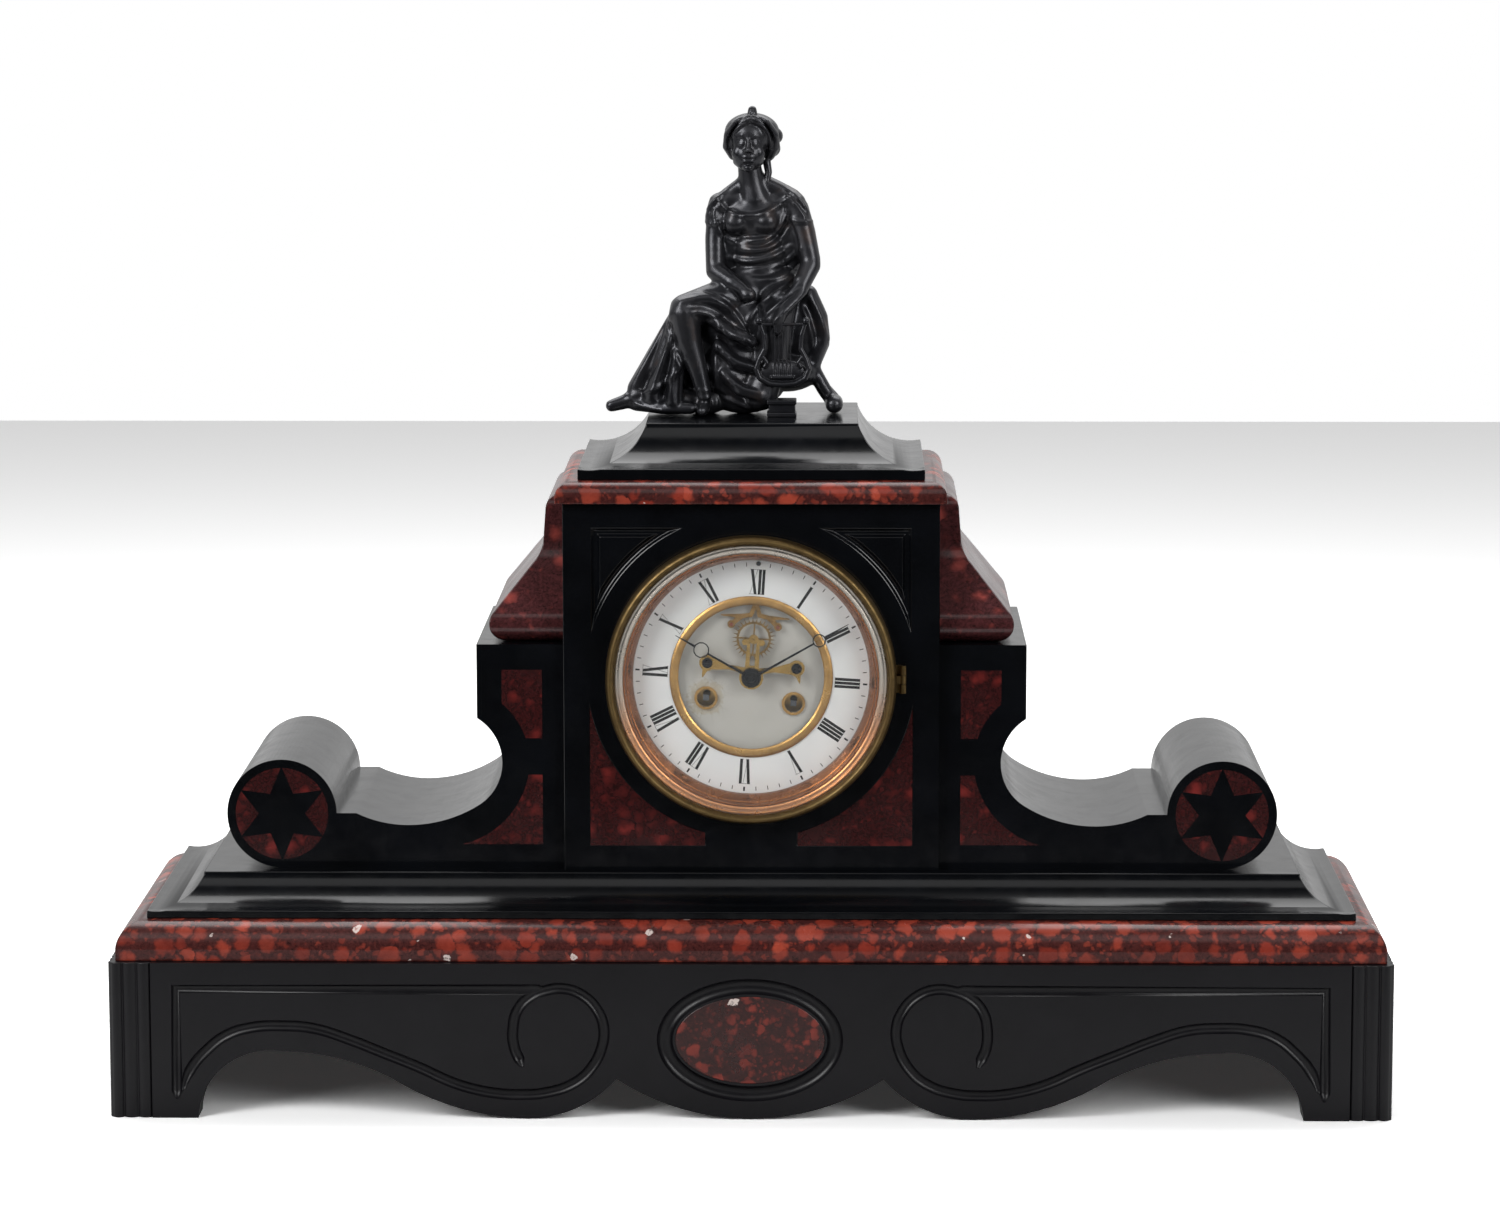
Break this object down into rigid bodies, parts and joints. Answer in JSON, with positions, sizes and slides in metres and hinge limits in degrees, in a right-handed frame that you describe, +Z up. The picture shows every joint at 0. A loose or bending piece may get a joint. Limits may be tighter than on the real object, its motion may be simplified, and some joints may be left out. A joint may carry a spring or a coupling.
{
  "type": "mantel clock",
  "caption": "Wide black slate mantel clock with red marble mouldings and inlays, a round dial with visible escapement, a glazed hinged bezel and a seated figure holding a lyre.",
  "frame": {"origin": "middle of the base's footprint, on the surface that the clock stands on", "axes": "+X to the viewer's right, +Y from the dial towards the back, +Z up"},
  "size_m": [0.644, 0.184, 0.5007],
  "materials": {
    "black_slate": "polished",
    "red_marble": "polished",
    "figure_metal": "satin",
    "polished_brass": "polished",
    "copper_toned_brass": "polished",
    "movement_brass": "satin",
    "white_enamel": "gloss",
    "crystal": "polished",
    "steel": "satin",
    "blued_steel": "polished",
    "red_stone": "polished",
    "bell_bronze": "polished"
  },
  "bodies": {
    "clock_case": {"base_front_apron": "black_slate", "base_corner_blocks": "black_slate", "base_side_panels": "black_slate", "base_back_panel": "black_slate", "apron_oval_inlay": "red_marble", "base_red_slab": "red_marble", "plinth": "black_slate", "block_front": "black_slate", "block_side_slabs": "black_slate", "block_back": "black_slate", "corner_inlays": "red_marble", "left_wing": "black_slate", "right_wing": "black_slate", "scroll_star_inlays": "red_marble", "left_console": "red_marble", "right_console": "red_marble", "top_red_slab": "red_marble", "cap": "black_slate", "figure": "figure_metal", "casing_ring": "polished_brass", "dial_pan": "movement_brass", "chapter_ring": "white_enamel", "centre_dial": "white_enamel", "gilt_ring": "polished_brass", "winding_ferrules": "polished_brass", "movement_front_plate": "movement_brass", "movement_back_plate": "movement_brass", "escapement_bridge": "polished_brass", "bridge_screws": "blued_steel", "bell": "bell_bronze", "bell_stand": "steel", "suspension_cock": "movement_brass", "rear_ring": "polished_brass", "casing_straps": "movement_brass", "strap_screws": "steel"},
    "bezel": {"bezel_ring": "polished_brass", "bezel_glass": "crystal", "sight_ring": "copper_toned_brass"},
    "back_door": {"rear_door": "polished_brass"},
    "minute_work": {"minute_hand": "blued_steel", "cannon_pinion": "steel"},
    "minute_wheel_body": {"minute_wheel": "movement_brass"},
    "hour_work": {"hour_hand": "blued_steel", "hour_wheel": "movement_brass"},
    "going_barrel_body": {"going_barrel": "movement_brass"},
    "going_arbor": {"going_winding_arbor": "steel"},
    "intermediate": {"intermediate_wheel": "movement_brass"},
    "centre": {"centre_wheel": "movement_brass"},
    "third": {"third_wheel": "movement_brass"},
    "escape": {"escape_wheel": "movement_brass"},
    "strike_barrel_body": {"strike_barrel": "movement_brass"},
    "strike_arbor": {"strike_winding_arbor": "steel"},
    "hammer_wheel_body": {"hammer_wheel": "movement_brass"},
    "fly_body": {"fly": "steel"},
    "hammer_body": {"hammer": "steel"},
    "pendulum": {"pendulum_rod": "steel", "pendulum_bob": "polished_brass"},
    "anchor_body": {"anchor": "steel", "pallet_stones": "red_stone"},
    "regulator": {"regulator_arbor": "steel"}
  },
  "joints": [
    {"name": "bezel_hinge", "type": "hinge", "parent": "clock_case", "child": "bezel", "pos_m": [0.0766, -0.0469, 0.2166], "axis": [0, 0, 1], "range_deg": [0, 105]},
    {"name": "back_door_hinge", "type": "hinge", "parent": "clock_case", "child": "back_door", "pos_m": [-0.0545, 0.0908, 0.2166], "axis": [0, 0, 1], "range_deg": [0, 110]},
    {"name": "minute_hand_turn", "type": "hinge", "parent": "clock_case", "child": "minute_work", "pos_m": [0, -0.044, 0.2166], "axis": [0, 1, 0], "continuous": true},
    {"name": "minute_wheel_turn", "type": "hinge", "parent": "clock_case", "child": "minute_wheel_body", "pos_m": [0.00431, -0.02585, 0.20789], "axis": [0, 1, 0], "continuous": true},
    {"name": "hour_hand_turn", "type": "hinge", "parent": "clock_case", "child": "hour_work", "pos_m": [0, -0.0425, 0.2166], "axis": [0, 1, 0], "continuous": true},
    {"name": "third_wheel_turn", "type": "hinge", "parent": "clock_case", "child": "third", "pos_m": [-0.00906, -0.005, 0.22737], "axis": [0, 1, 0], "continuous": true},
    {"name": "centre_wheel_turn", "type": "hinge", "parent": "clock_case", "child": "centre", "pos_m": [0, -0.005, 0.2166], "axis": [0, 1, 0], "continuous": true},
    {"name": "intermediate_wheel_turn", "type": "hinge", "parent": "clock_case", "child": "intermediate", "pos_m": [-0.00062, -0.005, 0.20179], "axis": [0, 1, 0], "continuous": true},
    {"name": "going_barrel_turn", "type": "hinge", "parent": "clock_case", "child": "going_barrel_body", "pos_m": [0.02133, -0.005, 0.20244], "axis": [0, 1, 0], "continuous": true},
    {"name": "escape_wheel_turn", "type": "hinge", "parent": "clock_case", "child": "escape", "pos_m": [0.00127, -0.005, 0.23616], "axis": [0, 1, 0], "continuous": true},
    {"name": "hammer_wheel_turn", "type": "hinge", "parent": "clock_case", "child": "hammer_wheel_body", "pos_m": [-0.0252, -0.005, 0.22547], "axis": [0, 1, 0], "continuous": true},
    {"name": "strike_barrel_turn", "type": "hinge", "parent": "clock_case", "child": "strike_barrel_body", "pos_m": [-0.02298, -0.005, 0.20531], "axis": [0, 1, 0], "continuous": true},
    {"name": "fly_turn", "type": "hinge", "parent": "clock_case", "child": "fly_body", "pos_m": [-0.03023, -0.005, 0.23563], "axis": [0, 1, 0], "continuous": true},
    {"name": "going_winding_turn", "type": "hinge", "parent": "clock_case", "child": "going_arbor", "pos_m": [0.02133, -0.005, 0.20244], "axis": [0, 1, 0], "range_deg": [0, 1900]},
    {"name": "strike_winding_turn", "type": "hinge", "parent": "clock_case", "child": "strike_arbor", "pos_m": [-0.02298, -0.005, 0.20531], "axis": [0, 1, 0], "range_deg": [0, 1900]},
    {"name": "regulator_turn", "type": "hinge", "parent": "clock_case", "child": "regulator", "pos_m": [0.00374, -0.005, 0.27448], "axis": [0, 1, 0], "range_deg": [-720, 720]},
    {"name": "pendulum_swing", "type": "hinge", "parent": "clock_case", "child": "pendulum", "pos_m": [0.00245, 0.022, 0.25452], "axis": [0, 1, 0], "range_deg": [-3, 3]},
    {"name": "anchor_rock", "type": "hinge", "parent": "clock_case", "child": "anchor_body", "pos_m": [0.00245, -0.005, 0.25452], "axis": [0, 1, 0], "range_deg": [-3, 3]},
    {"name": "hammer_lift", "type": "hinge", "parent": "clock_case", "child": "hammer_body", "pos_m": [-0.01403, -0.005, 0.24757], "axis": [0, 1, 0], "range_deg": [0, 12]}
  ],
  "couplings": [
    {"joint": "minute_wheel_turn", "follows": "minute_hand_turn", "ratio": -0.33333},
    {"joint": "hour_hand_turn", "follows": "minute_hand_turn", "ratio": 0.083333},
    {"joint": "centre_wheel_turn", "follows": "third_wheel_turn", "ratio": -0.071429},
    {"joint": "intermediate_wheel_turn", "follows": "third_wheel_turn", "ratio": 0.011905},
    {"joint": "going_barrel_turn", "follows": "third_wheel_turn", "ratio": -0.0019841},
    {"joint": "escape_wheel_turn", "follows": "third_wheel_turn", "ratio": -13},
    {"joint": "strike_barrel_turn", "follows": "hammer_wheel_turn", "ratio": -0.16667},
    {"joint": "fly_turn", "follows": "hammer_wheel_turn", "ratio": -10},
    {"joint": "anchor_rock", "follows": "pendulum_swing", "ratio": 1}
  ]
}
